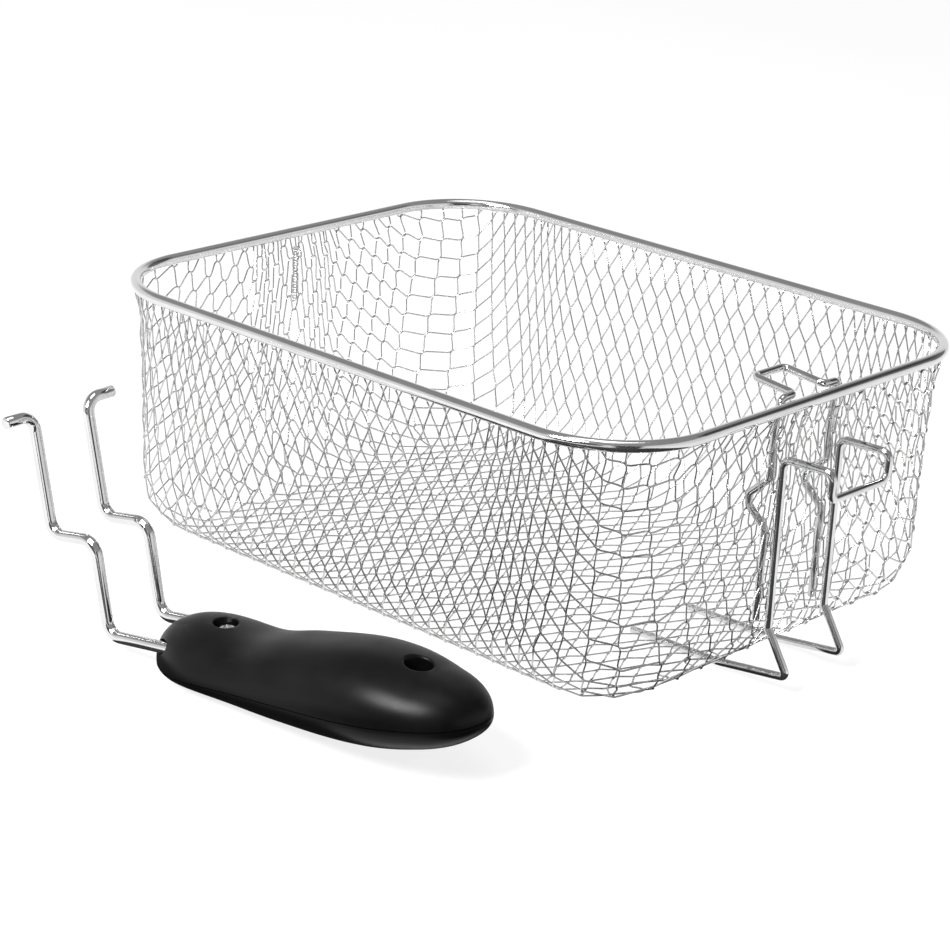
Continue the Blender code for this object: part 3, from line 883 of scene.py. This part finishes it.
def build_pod(shape, heights, inset, base, upper, stations, around):
    """Half of the grip, closed by a flat face at its base."""
    mouth, tail = GRIP_MOUTH - inset, GRIP_TAIL + inset
    sign = 1 if upper else -1
    rows = []
    for step in range(1, stations):
        y = tail + (mouth - tail) * (0.5 - 0.5 * math.cos(math.pi * step / stations))
        half_width, height = grip_section(y, heights, inset)
        row = []
        for k in range(around + 1):
            turn = math.pi * k / around
            power = 2 / SECTION_POWER
            x = half_width * math.copysign(abs(math.cos(turn)) ** power, math.cos(turn))
            row.append(shape.verts.new((x, y, base + sign * height * abs(math.sin(turn)) ** power)))
        rows.append(row)
    tips = [shape.verts.new((0, tail, base)), shape.verts.new((0, mouth, base))]
    for first, second in zip(rows, rows[1:]):
        for k in range(around):
            shape.faces.new((first[k], first[k + 1], second[k + 1], second[k]))
        shape.faces.new((first[around], first[0], second[0], second[around]))
    for row, tip in ((rows[0], tips[0]), (rows[-1], tips[1])):
        for k in range(around):
            shape.faces.new((row[k], row[k + 1], tip))
        shape.faces.new((row[around], row[0], tip))


def turned_cutter(name, profile, centre, segments=64):
    """A closed solid turned about a vertical axis from (radius, height over the crown or None, height) rows."""

    def build(shape):
        rings = []
        for radius, over_crown, z in profile:
            ring = []
            for k in range(segments):
                turn = 2 * math.pi * (k + 0.5) / segments
                x, y = centre[0] + radius * math.cos(turn), centre[1] + radius * math.sin(turn)
                level = z if over_crown is None else crown_height(x, y) + over_crown
                ring.append(shape.verts.new((x, y, level)))
            rings.append(ring)
        for lower, upper in zip(rings, rings[1:]):
            for k in range(segments):
                j = (k + 1) % segments
                shape.faces.new((lower[k], lower[j], upper[j], upper[k]))
        shape.faces.new(rings[0][::-1])
        shape.faces.new(rings[-1])

    return mesh_from(name, build)


def lipped_profile(radius, lip, bottom):
    """A hole that flares into the crown over a rounded lip."""
    rows = [(radius, None, bottom)]
    for step in range(LIP_STEPS + 1):
        turn = math.radians(90 * step / LIP_STEPS)
        rows.append((radius + lip * (1 - math.cos(turn)), -lip * (1 - math.sin(turn)) + LIP_LIFT, 0))
    return rows + [(radius + lip + LIP_MARGIN, None, CUTTER_FAR)]


def straight_profile(radius, bottom, top):
    return [(radius, None, bottom), (radius, None, top)]


def mouth_cutter(name, x):
    def build(shape):
        size = {"radius1": HOLE_RADIUS, "radius2": HOLE_RADIUS, "depth": MOUTH_CUT_LENGTH}
        bmesh.ops.create_cone(shape, cap_ends=True, segments=40, **size)
        turn = Matrix.Translation((x, MOUTH_CUT_MIDDLE, PRONG_LEVEL)) @ Matrix.Rotation(math.radians(90), 4, "X")
        bmesh.ops.transform(shape, matrix=turn, verts=shape.verts)

    return mesh_from(name, build)


def cut_mesh(data, cutters, name):
    """The mesh with each cutter taken out of it."""
    body = bpy.data.objects.new(name, data)
    bpy.context.scene.collection.objects.link(body)
    helpers = []
    for k, cutter in enumerate(cutters):
        helper = bpy.data.objects.new(f"{name}_cutter_{k}", cutter)
        bpy.context.scene.collection.objects.link(helper)
        helpers.append(helper)
        modifier = body.modifiers.new(f"cut_{k}", "BOOLEAN")
        modifier.operation, modifier.solver, modifier.object = "DIFFERENCE", "EXACT", helper
    bpy.context.view_layer.update()
    result = bpy.data.meshes.new_from_object(body.evaluated_get(bpy.context.evaluated_depsgraph_get()))
    for thing in helpers + [body]:
        bpy.data.objects.remove(thing, do_unlink=True)
    result.name = name
    return result


def add_grip_shell(name, node, upper):
    heights = GRIP_CROWNS if upper else GRIP_BELLIES
    base = PARTING if upper else -PARTING
    outer = mesh_from(name, lambda shape: build_pod(shape, heights, 0, base, upper, stations=96, around=64))
    void = mesh_from(
        name + "_void", lambda shape: build_pod(shape, heights, GRIP_WALL, 0, upper, stations=24, around=16)
    )
    centre = (0, HANG_HOLE_Y)
    low, high = (-CUTTER_MARGIN, CUTTER_REACH) if upper else (-CUTTER_REACH, CUTTER_MARGIN)
    bosses = [turned_cutter("boss", straight_profile(HANG_HOLE_RADIUS + BOSS_WALL, low, high), centre, 24)]
    if upper:
        profile = straight_profile(WELL_RADIUS + BOSS_WALL, WELL_FLOOR - WELL_FLOOR_THICKNESS, CUTTER_REACH)
        bosses.append(turned_cutter("well_boss", profile, (0, WELL_Y), 24))
    cutters = [cut_mesh(void, bosses, name + "_void")]
    if upper:
        cutters.append(turned_cutter("hang_hole", lipped_profile(HANG_HOLE_RADIUS, HANG_LIP, -CUTTER_FAR), centre))
        cutters.append(turned_cutter("well", lipped_profile(WELL_RADIUS, WELL_LIP, WELL_FLOOR), (0, WELL_Y)))
        cutters.append(turned_cutter("bore", straight_profile(BORE_RADIUS, BORE_START, CUTTER_REACH), (0, WELL_Y), 32))
        cutters += [mouth_cutter("mouth", side * PRONG_SPACING / 2) for side in (-1, 1)]
    else:
        cutters.append(turned_cutter("hang_hole", straight_profile(HANG_HOLE_RADIUS, -CUTTER_FAR, CUTTER_FAR), centre))
    data = cut_mesh(outer, cutters, name)
    piece = add_mesh(name, data, BLACK_PLASTIC, HANDLE, "grip", "black_plastic", node)
    piece.data.set_sharp_from_angle(angle=math.radians(38))


def add_screw():
    """A domed cross-head screw: shank, head with a rounded edge, and the cross recess."""
    radius, head, edge = SCREW_HEAD_RADIUS, SCREW_HEAD_BASE, SCREW_HEAD_BASE + SCREW_HEAD_EDGE
    outline = [(SCREW_RADIUS, SCREW_START), (SCREW_RADIUS, head), (radius, head), (radius, edge)]
    for step in range(1, DOME_STEPS + 1):
        turn = math.radians(90 * step / DOME_STEPS)
        outline.append((radius * math.cos(turn) + 0.00002, edge + SCREW_HEAD_DOME * math.sin(turn)))
    turns = [2 * math.pi * (k + 0.5) / SCREW_SEGMENTS for k in range(SCREW_SEGMENTS)]

    def build(shape):
        rings = []
        for ring_radius, z in outline:
            places = [(ring_radius * math.cos(t), WELL_Y + ring_radius * math.sin(t), z) for t in turns]
            rings.append([shape.verts.new(place) for place in places])
        for lower, upper in zip(rings, rings[1:]):
            for k in range(SCREW_SEGMENTS):
                j = (k + 1) % SCREW_SEGMENTS
                shape.faces.new((lower[k], lower[j], upper[j], upper[k]))
        shape.faces.new(rings[0][::-1])
        shape.faces.new(rings[-1])

    def slot(degrees):
        def build_slot(shape):
            bmesh.ops.create_cube(shape, size=1)
            bmesh.ops.scale(shape, vec=CROSS_SIZE, verts=shape.verts)
            turn = Matrix.Translation((0, WELL_Y, head + CROSS_MIDDLE)) @ Matrix.Rotation(math.radians(degrees), 4, "Z")
            bmesh.ops.transform(shape, matrix=turn, verts=shape.verts)

        return mesh_from("slot", build_slot)

    data = cut_mesh(mesh_from("cross_screw", build), [slot(CROSS_TURN), slot(CROSS_TURN + 90)], "cross_screw")
    piece = add_mesh("cross_screw", data, ZINC_STEEL, HANDLE, "grip", "bright_wire", "clamp_screw")
    piece.data.set_sharp_from_angle(angle=math.radians(35))


def paint_cad_nodes():
    for node, material in (("rim_core_wire", WIRE_STEEL), ("prong_clamp", ZINC_STEEL), ("clamp_nut", ZINC_STEEL)):
        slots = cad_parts[node].data.materials
        slots.clear()
        slots.append(material)


# Stage -------------------------------------------------------------------------------------------------------------


def camera_matrix():
    """The camera's matrix, from its turn and offset in the basket's own frame."""
    azimuth, elevation = VIEW_AZIMUTH, VIEW_ELEVATION
    right = Vector((math.cos(azimuth), math.sin(azimuth), 0))
    level = math.cos(elevation)
    back = Vector((math.sin(azimuth) * level, -math.cos(azimuth) * level, math.sin(elevation)))
    up = back.cross(right)
    roll_cos, roll_sin = math.cos(VIEW_ROLL), math.sin(VIEW_ROLL)
    roll = Matrix(((roll_cos, roll_sin, 0), (-roll_sin, roll_cos, 0), (0, 0, 1)))
    turn = roll @ Matrix((right, up, back))
    place = -(turn.transposed() @ VIEW_OFFSET)
    return BASKET @ (Matrix.Translation(place) @ turn.transposed().to_4x4())


def add_camera():
    data = bpy.data.cameras.new("camera")
    data.lens = LENS
    data.sensor_width = 36
    data.clip_start, data.clip_end = 0.01, 50
    made = bpy.data.objects.new("camera", data)
    bpy.context.scene.collection.objects.link(made)
    made.matrix_world = camera_matrix()
    bpy.context.scene.camera = made


def add_stage_plane(name, corners, height, material):
    data = bpy.data.meshes.new(name)
    data.from_pydata([(x, y, height) for x, y in corners], [], [tuple(range(len(corners)))])
    data.materials.append(material)
    made = bpy.data.objects.new(name, data)
    bpy.context.scene.collection.objects.link(made)
    return made


def add_floor():
    reach = STAGE_REACH
    corners = ((-reach, -reach), (reach, -reach), (reach, reach), (-reach, reach))
    add_stage_plane("floor", corners, 0.0, floor_surface("floor"))
    cloth = flag_surface("flag_cloth")
    for number, corners in enumerate(CARDS):
        card = add_stage_plane(f"black_card_{number}", corners, CARD_HEIGHT + CARD_STEP * number, cloth)
        card.visible_camera = False
        card.visible_diffuse = False
        card.visible_shadow = False
        card.visible_transmission = False


def add_area_light(name, place, target, size, radiance):
    data = bpy.data.lights.new(name, "AREA")
    data.shape = "RECTANGLE"
    data.size, data.size_y = size
    data.energy = radiance * math.pi * size[0] * size[1]
    made = bpy.data.objects.new(name, data)
    bpy.context.scene.collection.objects.link(made)
    made.location = place
    made.rotation_euler = (Vector(target) - Vector(place)).to_track_quat("-Z", "Y").to_euler()


def heading(azimuth, elevation):
    """The unit vector of a direction given in degrees."""
    azimuth, elevation = math.radians(azimuth), math.radians(elevation)
    return (math.cos(elevation) * math.cos(azimuth), math.cos(elevation) * math.sin(azimuth), math.sin(elevation))


def add_world():
    """A studio round the set: a bright low wall of backdrop, dimmer above it."""
    world = bpy.data.worlds.new("studio")
    world.use_nodes = True
    bpy.context.scene.world = world
    nodes = Nodes(world.node_tree)
    shader = world.node_tree.nodes["Background"]
    way = nodes.add("ShaderNodeTexCoord").outputs["Generated"]
    height = nodes.dot(way, (0, 0, 1))
    level = nodes.ease(height, *BACKDROP_FADE, BACKDROP_LEVEL, CEILING_LEVEL)
    # A dark column on the picture-taker's side, and a dark flag at each side of the set
    front = heading(COLUMN_AZIMUTH, 0)
    aside = nodes.math("ABSOLUTE", nodes.dot(way, heading(COLUMN_AZIMUTH + 90, 0)))
    within = nodes.ease(aside, *COLUMN_SIDES, 1.0, 0.0)
    column = nodes.math("MULTIPLY", within, nodes.ease(nodes.dot(way, front), *COLUMN_FRONT))
    column = nodes.math("MULTIPLY", column, nodes.ease(height, *COLUMN_TOP, 1.0, 0.0))
    right_flag = nodes.ease(nodes.dot(way, heading(*RIGHT_FLAG)), *RIGHT_FLAG_EDGE, 0.0, RIGHT_FLAG_DEPTH)
    left_flag = nodes.ease(nodes.dot(way, heading(*LEFT_FLAG)), *LEFT_FLAG_EDGE, 0.0, LEFT_FLAG_DEPTH)
    dark = nodes.math("MAXIMUM", nodes.math("MAXIMUM", column, right_flag), left_flag)
    level = nodes.math("MULTIPLY", level, nodes.math("SUBTRACT", 1.0, nodes.math("MULTIPLY", dark, DARKEST)))
    nodes.link(level, shader.inputs["Strength"])
    shader.inputs["Color"].default_value = (1, 1, 1, 1)


def set_stage():
    add_camera()
    add_floor()
    add_world()
    add_area_light("overhead", OVERHEAD_PLACE, (0, 0, 0), OVERHEAD_SIZE, OVERHEAD_RADIANCE)
    add_area_light("key", KEY_PLACE, KEY_TARGET, KEY_SIZE, KEY_RADIANCE)
    bpy.context.scene.view_settings.view_transform = "Standard"


set_stage()
add_woven_mesh()
add_rim()
add_lacing()
add_brackets()
add_prongs()
add_grip_shell("grip_top", "grip_upper_shell", True)
add_grip_shell("grip_base", "grip_lower_shell", False)
add_screw()
paint_cad_nodes()
